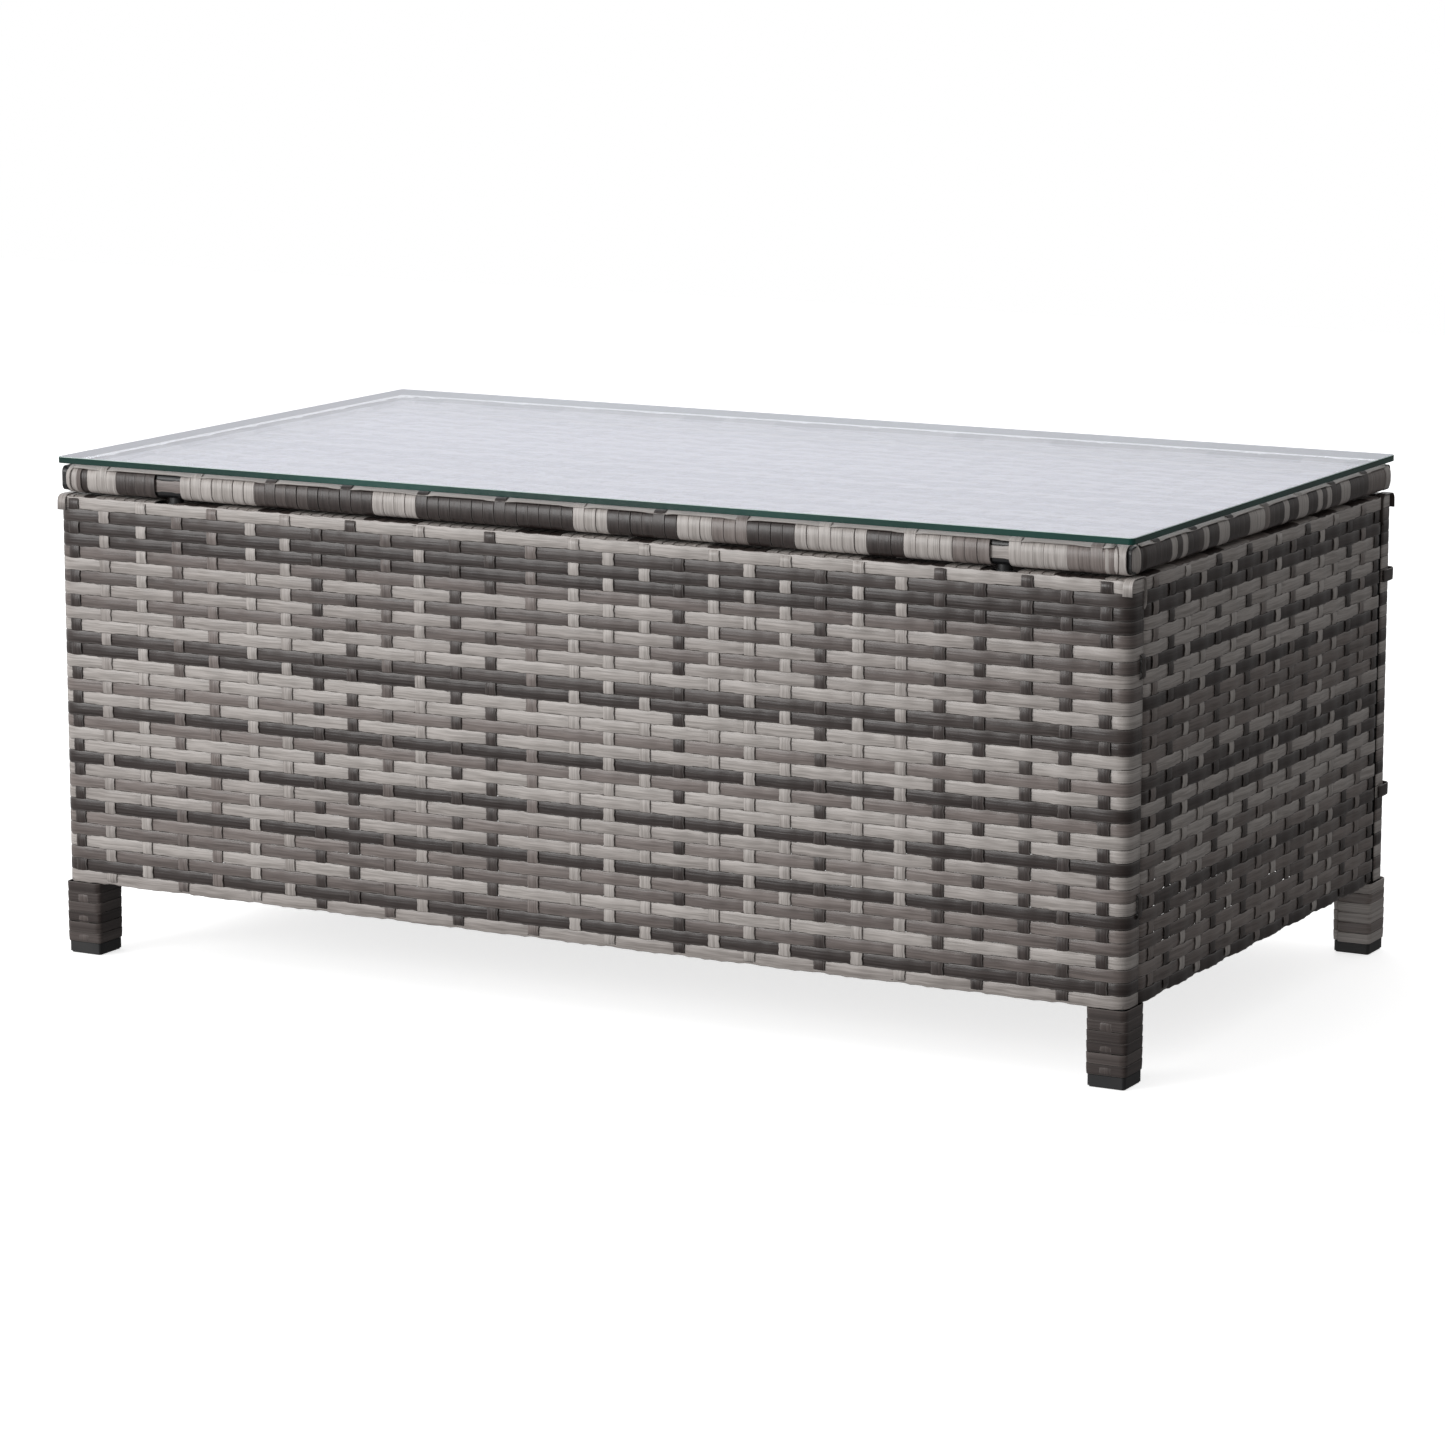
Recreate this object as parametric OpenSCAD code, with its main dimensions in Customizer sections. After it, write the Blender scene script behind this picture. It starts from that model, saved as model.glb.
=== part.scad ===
/* [Table] */
// Width of the table along X
table_w = 900; // [840:10:1100]
// Depth of the table along Y
table_d = 500; // [460:10:600]
// Height from the floor to the top of the glass
table_h = 390; // [370:5:450]
// Height of the legs under the woven body
leg_h = 57; // [40:1:80]

/* [Glass top] */
// Thickness of the glass plate
glass_t = 5; // [4:0.5:8]
// Corner radius of the glass plate
glass_r = 4; // [2:0.5:10]
// Height of the clear bumpers that the glass lies on
bumper_h = 1; // [0.8:0.1:2]
// Diameter of a bumper
bumper_d = 10; // [8:1:12]

/* [Steel tubes] */
// Outer width of the frame tubes
tube_s = 19; // [16:1:20]
// Outer width of the struts and crossbars
strut_s = 16; // [12:1:16]
// Outer width of the leg tubes
leg_s = 25; // [22:1:25]
// Wall thickness of every tube
tube_wall = 1.2; // [1:0.1:1.5]

/* [Weave] */
// Thickness of the weave, one strand over another
weave_t = 2.8; // [2.6:0.1:3.2]
// Thickness of a single strand wrapped round a tube
wrap_t = 1.8; // [1.4:0.1:2]
// Thickness of the wrap over and under the top ring
ring_wrap_t = 1.25; // [1.2:0.05:1.6]
// Gap between the top ring and the woven body
ring_gap = 2.5; // [2:0.1:4]
// Seam between a long panel and a short panel
seam_gap = 1.2; // [1:0.1:2]

/* [Foot caps] */
// Height of the visible part of a foot cap
cap_h = 9; // [7:0.5:12]
// Thickness of a foot cap under the tube
cap_floor = 3; // [2:0.5:4]
// Outer width of a foot cap
cap_s = 29.4; // [29:0.2:30.2]

/* [Bolts] */
// Radius of the bolts
bolt_r = 3; // [3:0.5:4]
// Distance of the top bolts from the middle of the table
top_bolt_x = 348; // [300:1:380]
// Height of the lower bolt in each corner
bolt_low_z = 122; // [110:1:150]
// Height of the upper bolt in each corner
bolt_high_z = 288; // [260:1:300]

/* [Hidden] */
$fn = 48;
LONG = ["front", "back"];
SHORT = ["right", "left"];
SIDES = ["front", "right", "back", "left"];
ENDS = ["left", "right"];
CORNERS = ["front_left", "front_right", "back_left", "back_right"];

slack = 0.2;
fit = 0.05;
steel = [0.10, 0.10, 0.11];
strand = [0.52, 0.49, 0.47];
strand_dark = [0.33, 0.30, 0.29];
strand_light = [0.72, 0.69, 0.67];
black = [0.05, 0.05, 0.05];

// The woven body and the top ring, from the top down.
glass_z = table_h - glass_t;
ring_top = glass_z - bumper_h;
ring_tube_z = ring_top - ring_wrap_t - tube_s;
ring_bottom = ring_tube_z - ring_wrap_t;
body_top = ring_bottom - ring_gap;
top_rail_z = body_top - wrap_t - tube_s;
bottom_rail_z = leg_h + wrap_t;

// A panel is a frame of tubes with a weave over its outer face.
panel_t = weave_t + tube_s;
long_l = table_w;
short_l = table_d - 2 * (panel_t + seam_gap);
leg_wrap_s = leg_s + 2 * weave_t;
long_strut_x = [-150, 150];
short_strut_x = [0];

// The top ring: long rails run through, short rails butt between them.
ring_x = table_w / 2 - weave_t;
ring_y = table_d / 2 - weave_t;
crossbar_x = [-225, 0, 225];
deck_x = ring_x - tube_s - ring_wrap_t - slack;
deck_y = ring_y - tube_s - ring_wrap_t - slack;

// Bare stretches of the long ring rails, left and right, where the bolts go through.
bare_x = [-350, 347];
bare_w = [24, 15];

top_bolt_y = ring_y - tube_s / 2;
top_bolt_l = 40;
corner_bolt_l = 38;
corner_bolt_y = weave_t + tube_s / 2 - 0.5;
corner_bolt_z = [bolt_low_z, bolt_high_z];
head_r = 6;
head_h = 1.8;
corner_head_h = 3.6;
washer_r = 7;
washer_t = 1.2;
insert_r = 4.4;
insert_l = 11;
flange_r = 6.5;
flange_t = 1;
sleeve_r = 5.5;

function length_of(side) = side == "front" || side == "back" ? long_l : short_l;
function wrapped_end(side) = length_of(side) / 2 - wrap_t;
function struts_of(side) = side == "front" || side == "back" ? long_strut_x : short_strut_x;
function corner_sign(corner) = [
    corner == "front_left" || corner == "back_left" ? -1 : 1,
    corner == "front_left" || corner == "front_right" ? -1 : 1
];

// Puts a panel, drawn with its outer face on y = 0 and its length along X, on its side of the table.
module place(side) {
    turn = side == "front" ? 0 : side == "right" ? 90 : side == "back" ? 180 : 270;
    out = side == "front" || side == "back" ? table_d / 2 : table_w / 2;
    rotate([0, 0, turn])
        translate([0, -out, 0])
            children();
}

module place_leg(corner) {
    sign = corner_sign(corner);
    translate([
        sign[0] * (table_w / 2 - weave_t - leg_s / 2),
        sign[1] * (table_d / 2 - weave_t - leg_s / 2),
        0
    ])
        children();
}

module rounded_square(w, h, r) {
    square([w - 2 * r, h], center = true);
    square([w, h - 2 * r], center = true);
    for (x = [-1, 1]) {
        for (y = [-1, 1]) {
            translate([x * (w / 2 - r), y * (h / 2 - r)])
                circle(r);
        }
    }
}

// A square tube standing on z = 0, centred on the origin.
module tube(s, l) {
    linear_extrude(l)
        difference() {
            rounded_square(s, s, 1.5);
            square(s - 2 * tube_wall, center = true);
        }
}

// A square tube along X from x0 to x1. y and z are its lowest corner.
module tube_x(s, x0, x1, y, z) {
    translate([x0, y + s / 2, z + s / 2])
        rotate([0, 90, 0])
            tube(s, x1 - x0);
}

module tube_z(s, x, y, z0, z1) {
    translate([x + s / 2, y + s / 2, z0])
        tube(s, z1 - z0);
}

module at_top_bolts() {
    for (x = [-1, 1]) {
        for (y = [-1, 1]) {
            translate([x * top_bolt_x, y * top_bolt_y, 0])
                children();
        }
    }
}

// Each corner bolt's place, on the inner face of a short panel's post, with +Z towards the long panel.
module at_corner_bolts() {
    for (side = SHORT) {
        for (end = [-1, 1]) {
            for (z = corner_bolt_z) {
                place(side)
                    translate([end * (wrapped_end(side) - tube_s), corner_bolt_y, z])
                        rotate([0, end * 90, 0])
                            children();
            }
        }
    }
}

// Distance from a short panel's post to the long panel's post, along a corner bolt.
corner_reach = tube_s + wrap_t + seam_gap;

module corner_holes(r, from, to) {
    at_corner_bolts()
        translate([0, 0, from])
            cylinder(r = r, h = to - from);
}

module top_rail(side) {
    end = wrapped_end(side) - tube_s;
    color(steel)
        difference() {
            place(side)
                tube_x(tube_s, -end, end, weave_t, top_rail_z);
            at_top_bolts()
                translate([0, 0, top_rail_z + tube_s - 2 * tube_wall])
                    cylinder(r = insert_r + fit, h = 3 * tube_wall);
        }
}

module bottom_rail(side) {
    end = wrapped_end(side) - tube_s;
    color(steel)
        place(side)
            tube_x(tube_s, -end, end, weave_t, bottom_rail_z);
}

module struts(side) {
    color(steel)
        place(side)
            for (x = struts_of(side)) {
                tube_z(strut_s, x - strut_s / 2, weave_t, bottom_rail_z + tube_s, top_rail_z);
            }
}

module post(side, end) {
    x = end > 0 ? wrapped_end(side) - tube_s : -wrapped_end(side);
    long = side == "front" || side == "back";
    color(steel)
        difference() {
            place(side)
                tube_z(tube_s, x, weave_t, bottom_rail_z, body_top - wrap_t);
            if (long) {
                corner_holes(insert_r + fit, corner_reach - 1, corner_reach + 2 * tube_wall);
            } else {
                corner_holes(bolt_r + 0.3, -1, tube_s + 1);
            }
        }
}

// The weave covers a panel's outer face and turns over the tubes at its four edges.
module weave(side) {
    l = length_of(side);
    long = side == "front" || side == "back";
    leg_clear = long ? leg_wrap_s : leg_wrap_s - panel_t - seam_gap;
    color(side == "right" || side == "left" ? strand_dark : strand)
        difference() {
            place(side)
                difference() {
                    translate([-l / 2, 0, leg_h])
                        cube([l, panel_t, body_top - leg_h]);
                    translate([-l / 2 + wrap_t, weave_t, leg_h + wrap_t])
                        cube([l - 2 * wrap_t, panel_t, body_top - leg_h - 2 * wrap_t]);
                    for (end = [-1, 1]) {
                        translate([end * l / 2, panel_t + weave_t, leg_h])
                            cube([2 * leg_clear, 2 * panel_t, 2 * wrap_t + slack], center = true);
                    }
                }
            if (long) {
                at_top_bolts()
                    translate([0, 0, body_top])
                        cube([20, tube_s, 4 * wrap_t], center = true);
            } else {
                corner_holes(flange_r + 1, tube_s - 1, corner_reach + 1);
            }
        }
}

module leg_tube(corner) {
    color(steel)
        place_leg(corner)
            translate([0, 0, cap_floor])
                tube(leg_s, bottom_rail_z - cap_floor);
}

module leg_wrap(corner) {
    color(strand_dark)
        place_leg(corner)
            translate([0, 0, cap_h + slack])
                linear_extrude(leg_h - cap_h - 2 * slack)
                    difference() {
                        rounded_square(leg_wrap_s, leg_wrap_s, 3);
                        rounded_square(leg_s + 2 * fit, leg_s + 2 * fit, 1.5);
                    }
}

module foot_cap(corner) {
    color(black)
        place_leg(corner)
            difference() {
                union() {
                    linear_extrude(1)
                        rounded_square(cap_s - 2, cap_s - 2, 2);
                    translate([0, 0, 1])
                        linear_extrude(cap_h - 1)
                            rounded_square(cap_s, cap_s, 2.5);
                }
                translate([0, 0, cap_floor])
                    linear_extrude(cap_h)
                        rounded_square(leg_s + 2 * fit, leg_s + 2 * fit, 1.5);
            }
}

module ring_rail(side) {
    long = side == "front" || side == "back";
    end = long ? ring_x : ring_y - tube_s;
    color(steel)
        difference() {
            place(side)
                tube_x(tube_s, -end, end, weave_t, ring_tube_z);
            at_top_bolts()
                translate([0, 0, ring_tube_z - 1])
                    cylinder(r = bolt_r + 0.3, h = tube_s + 2);
        }
}

// The space that the ring's tubes and the crossbars take up, which no wrap may enter.
module ring_space() {
    for (y = [-ring_y, ring_y - tube_s]) {
        translate([-ring_x, y, ring_tube_z])
            cube([2 * ring_x, tube_s, tube_s]);
    }
    for (x = [-ring_x, ring_x - tube_s]) {
        translate([x, -ring_y, ring_tube_z])
            cube([tube_s, 2 * ring_y, tube_s]);
    }
    for (x = crossbar_x) {
        translate([x - strut_s / 2, -ring_y, ring_tube_z - fit])
            cube([strut_s, 2 * ring_y, strut_s + 2 * fit]);
    }
}

// A roll of strand wound close round a ring rail, with rounded edges.
module ring_wrap(side) {
    long = side == "front" || side == "back";
    roll_w = weave_t + tube_s + ring_wrap_t;
    end = long ? long_l / 2 : table_d / 2 - roll_w - slack;
    color(long ? strand_light : strand_dark)
        difference() {
            place(side)
                translate([-end, roll_w / 2, (ring_top + ring_bottom) / 2])
                    rotate([0, 90, 0])
                        linear_extrude(2 * end)
                            rounded_square(ring_top - ring_bottom, roll_w, 3);
            ring_space();
            if (long) {
                for (i = [0, 1]) {
                    translate([bare_x[i], 0, ring_tube_z])
                        cube([bare_w[i], table_d + 1, 3 * tube_s], center = true);
                }
            }
        }
}

module ring_crossbars() {
    color(steel)
        for (x = crossbar_x) {
            translate([x, tube_s - ring_y, ring_tube_z + strut_s / 2])
                rotate([-90, 0, 0])
                    tube(strut_s, 2 * (ring_y - tube_s));
        }
}

module deck_weave() {
    color(strand)
        translate([-deck_x, -deck_y, ring_tube_z + strut_s])
            cube([2 * deck_x, 2 * deck_y, tube_s - strut_s]);
}

module glass_bumpers() {
    color([0.85, 0.88, 0.9])
        for (x = [-1, 0, 1]) {
            for (y = [-1, 1]) {
                translate([x * (table_w / 2 - 30), y * top_bolt_y, ring_top])
                    cylinder(d = bumper_d, h = bumper_h);
            }
        }
}

module glass_top() {
    color([0.80, 0.82, 0.86])
        translate([0, 0, glass_z])
            linear_extrude(glass_t)
                rounded_square(table_w, table_d, glass_r);
}

module top_bolts() {
    color(black)
        at_top_bolts()
            translate([0, 0, ring_tube_z + tube_s]) {
                cylinder(r = head_r, h = head_h);
                translate([0, 0, -top_bolt_l])
                    cylinder(r = bolt_r, h = top_bolt_l);
            }
}

module top_sleeves() {
    z = top_rail_z + tube_s + flange_t;
    color(black)
        at_top_bolts()
            translate([0, 0, z])
                difference() {
                    cylinder(r = sleeve_r, h = ring_tube_z - z);
                    translate([0, 0, -1])
                        cylinder(r = bolt_r + 0.3, h = tube_s);
                }
}

// A threaded insert with its flange on z = 0, its barrel below and the bolt coming from above.
module insert() {
    difference() {
        union() {
            cylinder(r = flange_r, h = flange_t);
            translate([0, 0, -insert_l])
                cylinder(r = insert_r, h = insert_l);
        }
        translate([0, 0, -insert_l - 1])
            cylinder(r = bolt_r + fit, h = insert_l + flange_t + 2);
    }
}

module top_inserts() {
    color("silver")
        at_top_bolts()
            translate([0, 0, top_rail_z + tube_s])
                insert();
}

module corner_bolts() {
    color(black)
        at_corner_bolts()
            translate([0, 0, -washer_t]) {
                cylinder(r = bolt_r, h = corner_bolt_l);
                translate([0, 0, -corner_head_h])
                    cylinder(r = head_r, h = corner_head_h);
            }
}

module corner_washers() {
    color("silver")
        at_corner_bolts()
            translate([0, 0, -washer_t])
                difference() {
                    cylinder(r = washer_r, h = washer_t);
                    translate([0, 0, -1])
                        cylinder(r = bolt_r + 0.3, h = washer_t + 2);
                }
}

module corner_inserts() {
    color("silver")
        at_corner_bolts()
            translate([0, 0, corner_reach])
                rotate([180, 0, 0])
                    insert();
}

for (s = SIDES) {
    top_rail(s);
    bottom_rail(s);
    struts(s);
    weave(s);
    ring_rail(s);
    ring_wrap(s);
}
// Seen from outside the table, a back panel's left end is the table's right.
for (i = [0, 1]) {
    post("front", 2 * i - 1);
    post("back", 1 - 2 * i);
    post("right", 2 * i - 1);
    post("left", 1 - 2 * i);
}
for (c = CORNERS) {
    leg_tube(c);
    leg_wrap(c);
    foot_cap(c);
}
ring_crossbars();
deck_weave();
glass_bumpers();
glass_top();
top_bolts();
top_sleeves();
top_inserts();
corner_bolts();
corner_washers();
corner_inserts();
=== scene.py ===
import math
import random

import bmesh
import bpy
from mathutils import Matrix, Vector


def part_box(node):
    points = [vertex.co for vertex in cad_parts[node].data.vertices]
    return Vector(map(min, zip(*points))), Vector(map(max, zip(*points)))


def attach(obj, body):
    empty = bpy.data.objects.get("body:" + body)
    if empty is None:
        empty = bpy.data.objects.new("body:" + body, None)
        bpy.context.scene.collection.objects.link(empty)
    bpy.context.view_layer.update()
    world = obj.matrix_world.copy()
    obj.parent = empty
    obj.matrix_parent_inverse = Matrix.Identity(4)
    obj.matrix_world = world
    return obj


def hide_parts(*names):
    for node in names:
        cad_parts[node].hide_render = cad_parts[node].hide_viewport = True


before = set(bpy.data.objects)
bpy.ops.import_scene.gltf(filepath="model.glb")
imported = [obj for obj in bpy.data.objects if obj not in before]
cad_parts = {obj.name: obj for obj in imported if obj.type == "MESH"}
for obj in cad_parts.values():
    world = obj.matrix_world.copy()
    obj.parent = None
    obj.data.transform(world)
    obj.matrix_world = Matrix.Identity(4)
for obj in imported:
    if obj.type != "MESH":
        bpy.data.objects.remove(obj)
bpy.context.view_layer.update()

mm = 0.001
print("frame loaded:", len(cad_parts), "nodes")


class Wire:
    # one socket of a node tree, so that node maths is written as plain maths
    def __init__(self, tree, socket=None):
        self.tree = tree
        self.socket = socket

    def node(self, kind, settings=None, inputs=None, output=0):
        made = self.tree.nodes.new(kind)
        for name, value in (settings or {}).items():
            setattr(made, name, value)
        for name, value in (inputs or {}).items():
            if isinstance(value, Wire):
                self.tree.links.new(value.socket, made.inputs[name])
            else:
                made.inputs[name].default_value = value
        return Wire(self.tree, made.outputs[output] if len(made.outputs) else None)

    def maths(self, operation, *others):
        return self.node("ShaderNodeMath", {"operation": operation}, dict(enumerate((self,) + others)))

    def __add__(self, other):
        return self.maths("ADD", other)

    def __radd__(self, other):
        return self.maths("ADD", other)

    def __sub__(self, other):
        return self.maths("SUBTRACT", other)

    def __rsub__(self, other):
        return self.node("ShaderNodeMath", {"operation": "SUBTRACT"}, {0: other, 1: self})

    def __mul__(self, other):
        return self.maths("MULTIPLY", other)

    def __rmul__(self, other):
        return self.maths("MULTIPLY", other)

    def __truediv__(self, other):
        return self.maths("DIVIDE", other)

    def __rtruediv__(self, other):
        return self.node("ShaderNodeMath", {"operation": "DIVIDE"}, {0: other, 1: self})

    def __pow__(self, other):
        return self.maths("POWER", other)

    def __abs__(self):
        return self.maths("ABSOLUTE")

    def signedPower(self, power):
        return self.maths("SIGN") * abs(self) ** power

    def ease(self, low, high):
        # 0 below low, 1 above high, smooth between them
        inputs = {"Value": self, "From Min": low, "From Max": high}
        return self.node("ShaderNodeMapRange", {"interpolation_type": "SMOOTHSTEP"}, inputs)

    def part(self, axis):
        return self.node("ShaderNodeSeparateXYZ", {}, {0: self}, axis)

    def point(self, x, y, z):
        return self.node("ShaderNodeCombineXYZ", {}, {0: x, 1: y, 2: z})

    def noise(self, where, scale=1.0, detail=2.0):
        return self.node("ShaderNodeTexNoise", {}, {"Vector": where, "Scale": scale, "Detail": detail})

    def blend(self, factor, first, second):
        # colours are mixed here, because a maths node turns them grey
        return self.node("ShaderNodeMix", {"data_type": "RGBA"}, {0: factor, 6: first, 7: second}, 2)

    def tinted(self, tint):
        settings = {"data_type": "RGBA", "blend_type": "MULTIPLY"}
        return self.node("ShaderNodeMix", settings, {0: 1.0, 6: self, 7: tint}, 2)


strandLook = {
    "dark": (0.040, 0.0290, 0.0264, 1),
    "middle": (0.222, 0.186, 0.173, 1),
    "light": (0.492, 0.453, 0.428, 1),
    # painted highlight: the rim of every strand is lightened towards this colour, as if it caught the light
    "edge": (0.60, 0.57, 0.55, 1),
    "edgeHighlightAmount": 0.10,
    "gap": (0.30, 0.29, 0.28, 1),          # shade where two strands meet
    "streakLow": (0.70, 0.69, 0.68, 1),
    "streakHigh": (1.12, 1.12, 1.12, 1),
    "mottle": 0.12,
    "roughness": 0.34,
    "roughSpread": 0.35,
    "gloss": 0.50,
    "grooves": 12.5,
    "bump": 0.35,
    "bumpDepth": 0.00035,
}


def newMaterial(name):
    material = bpy.data.materials.new(name)
    material.use_nodes = True
    material.node_tree.nodes.clear()
    return material, Wire(material.node_tree)


def closeMaterial(wire, shader):
    wire.node("ShaderNodeOutputMaterial", {}, {"Surface": shader})


def wovenStrand():
    material, wire = newMaterial("wovenStrand")
    look = strandLook

    def reading(name):
        return wire.node("ShaderNodeAttribute", {"attribute_name": name}, {}, "Fac")

    tone = reading("tone")
    across = reading("across")
    along = reading("along")
    order = reading("order")
    wide = wire.noise(wire.point(along * 20, across * 2.2, order * 7.7), 1.0, 2.0)
    fine = wire.noise(wire.point(along * 45, across * 6.5, order * 3.1), 1.0, 3.0)
    streak = wide * 0.45 + fine * 0.55
    shade = tone + (wide - 0.5) * look["mottle"]
    base = wire.blend(shade.ease(0.0, 0.5), look["dark"], look["middle"])
    base = wire.blend(shade.ease(0.45, 1.0), base, look["light"])
    base = base.tinted(wire.blend(streak.ease(0.34, 0.64), look["streakLow"], look["streakHigh"]))
    # painted highlight along the rim of each strand
    rim = abs(across).ease(0.70, 0.90)
    base = wire.blend(rim * look["edgeHighlightAmount"], base, look["edge"])
    base = base.tinted(wire.blend(abs(across).ease(0.88, 1.0), (1, 1, 1, 1), look["gap"]))
    height = fine * 0.7 + wide * 0.3 + (across * look["grooves"]).maths("COSINE") * 0.12
    bump = wire.node("ShaderNodeBump", {}, {
        "Strength": look["bump"], "Distance": look["bumpDepth"], "Height": height})
    roughness = look["roughness"] + (streak - 0.5) * look["roughSpread"]
    inputs = {"Base Color": base, "Roughness": roughness, "Normal": bump,
              "Specular IOR Level": look["gloss"]}
    closeMaterial(wire, wire.node("ShaderNodeBsdfPrincipled", {}, inputs))
    return material


def solidLook(name, first, second, roughness, roughSpread, metallic=0.0, grain=700.0, bumpDepth=0.00008,
              alpha=1.0):
    # a moulded, coated or plated finish: two close colours, mottled, with a fine skin
    material, wire = newMaterial(name)
    where = wire.node("ShaderNodeTexCoord", {}, {}, "Object")
    cloud = wire.noise(where, 38.0, 3.0)
    skin = wire.noise(where, grain, 2.0)
    base = wire.blend(cloud.ease(0.35, 0.65), first, second)
    bump = wire.node("ShaderNodeBump", {}, {"Strength": 0.4, "Distance": bumpDepth, "Height": skin})
    inputs = {"Base Color": base, "Roughness": roughness + (cloud - 0.5) * roughSpread, "Normal": bump,
              "Metallic": metallic, "Alpha": alpha}
    closeMaterial(wire, wire.node("ShaderNodeBsdfPrincipled", {}, inputs))
    return material


glassLook = {
    "seen": (0.94, 0.955, 0.965, 1),       # what shows through it
    "gloss": (0.925, 0.930, 1.0, 1),       # what it mirrors
    "straightOn": 0.04,                    # mirrored share when looked at straight
    "falloff": 5.0,
    "glossRoughness": 0.04,
    "edgeDark": (0.004, 0.036, 0.028, 1),
    "edgeLight": (0.010, 0.075, 0.060, 1),
}


def clearFace():
    material, wire = newMaterial("clearGlass")
    facing = wire.node("ShaderNodeLayerWeight", {}, {"Blend": 0.5}, "Facing")
    where = wire.node("ShaderNodeTexCoord", {}, {}, "Object")
    haze = wire.noise(where, 9.0, 3.0)
    glancing = facing ** glassLook["falloff"] * (1.0 - glassLook["straightOn"])
    mirror = glassLook["straightOn"] + glancing * (0.97 + haze * 0.05)
    clear = wire.node("ShaderNodeBsdfTransparent", {}, {"Color": glassLook["seen"]})
    gloss = wire.node("ShaderNodeBsdfAnisotropic", {}, {
        "Color": glassLook["gloss"], "Roughness": glassLook["glossRoughness"]})
    closeMaterial(wire, wire.node("ShaderNodeMixShader", {}, {0: mirror, 1: clear, 2: gloss}))
    return material


def greenEdge():
    material, wire = newMaterial("glassEdge")
    where = wire.node("ShaderNodeTexCoord", {}, {}, "Object")
    cloud = wire.noise(where, 7.0, 2.0)
    fine = wire.noise(where, 160.0, 2.0)
    base = wire.blend(cloud.ease(0.3, 0.7), glassLook["edgeDark"], glassLook["edgeLight"])
    bump = wire.node("ShaderNodeBump", {}, {"Strength": 0.2, "Distance": 0.0001, "Height": fine})
    inputs = {"Base Color": base, "Roughness": 0.10 + fine * 0.08, "Normal": bump}
    closeMaterial(wire, wire.node("ShaderNodeBsdfPrincipled", {}, inputs))
    return material


strandFinish = wovenStrand()
faceFinish = clearFace()
edgeFinish = greenEdge()
# pale colour on the top arris of the glass: a painted highlight along its top edge
arrisHighlightFinish = solidLook("glassArrisHighlight", (0.50, 0.66, 0.62, 1), (0.62, 0.76, 0.72, 1), 0.18, 0.1)
slotFinish = {
    "frame_steel": solidLook("powderBlack", (0.010, 0.010, 0.011, 1), (0.017, 0.017, 0.018, 1), 0.30, 0.25),
    "cap_plastic": solidLook("mouldedBlack", (0.016, 0.016, 0.017, 1), (0.028, 0.027, 0.027, 1), 0.48, 0.2),
    "clear_rubber": solidLook("softClear", (0.70, 0.73, 0.74, 1), (0.80, 0.82, 0.83, 1), 0.25, 0.2,
                              grain=300.0, bumpDepth=0.00005, alpha=0.55),
    "black_bolt": solidLook("oxideBlack", (0.020, 0.020, 0.022, 1), (0.040, 0.040, 0.042, 1), 0.38, 0.2,
                            metallic=0.8),
    "zinc_steel": solidLook("zincPlate", (0.50, 0.51, 0.53, 1), (0.66, 0.67, 0.68, 1), 0.34, 0.2,
                            metallic=1.0),
    "woven_strand": strandFinish,
    "wrap_strand": strandFinish,
    "float_glass": faceFinish,
}
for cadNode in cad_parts.values():
    for place in cadNode.material_slots:
        slotName = place.material.name.split(".")[0] if place.material else ""
        if slotName in slotFinish:
            place.material = slotFinish[slotName]
print("materials made")


def newTree(name, sockets):
    tree = bpy.data.node_groups.new(name, "GeometryNodeTree")
    tree.interface.new_socket(name="Geometry", in_out="INPUT", socket_type="NodeSocketGeometry")
    for label, kind in sockets.items():
        tree.interface.new_socket(name=label, in_out="INPUT", socket_type="NodeSocket" + kind)
    tree.interface.new_socket(name="Geometry", in_out="OUTPUT", socket_type="NodeSocketGeometry")
    source = tree.nodes.new("NodeGroupInput")
    return tree, {socket.name: Wire(tree, socket) for socket in source.outputs if socket.name}


# how square the section of a strand is: small across for an upright edge, large skin for a crowned face
strandShape = {"sides": 12, "across": 0.27, "skin": 0.9, "noRim": 2.0}
# inset scales the stored across, so the edges of a band keep the painted rim highlight and take little of the
# painted gap shade
bandShape = {"sides": 8, "across": 0.24, "skin": 0.5, "inset": 0.9}


def storeField(wire, geometry, name, value, kind="FLOAT"):
    inputs = {"Geometry": geometry, "Name": name, "Value": value}
    return wire.node("GeometryNodeStoreNamedAttribute", {"data_type": kind, "domain": "POINT"}, inputs)


def readField(wire, name, kind="FLOAT"):
    return wire.node("GeometryNodeInputNamedAttribute", {"data_type": kind}, {"Name": name})


def rawSticks(wire, given, sides):
    # one round stick for each draft point, with its own coordinates kept
    sizes = {"Vertices": sides, "Side Segments": given["Steps"], "Radius": 1.0, "Depth": 1.0}
    stick = wire.node("GeometryNodeMeshCylinder", {"fill_type": "NGON"}, sizes, "Mesh")
    position = wire.node("GeometryNodeInputPosition")
    stick = storeField(wire, stick, "own", position, "FLOAT_VECTOR")
    laid = wire.node("GeometryNodeInstanceOnPoints", {}, {"Points": given["Geometry"], "Instance": stick})
    made = wire.node("GeometryNodeRealizeInstances", {}, {"Geometry": laid})
    own = readField(wire, "own", "FLOAT_VECTOR")
    middle = wire.node("ShaderNodeVectorMath", {"operation": "SUBTRACT"}, {0: position, 1: own})
    return made, own, middle, position


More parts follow.
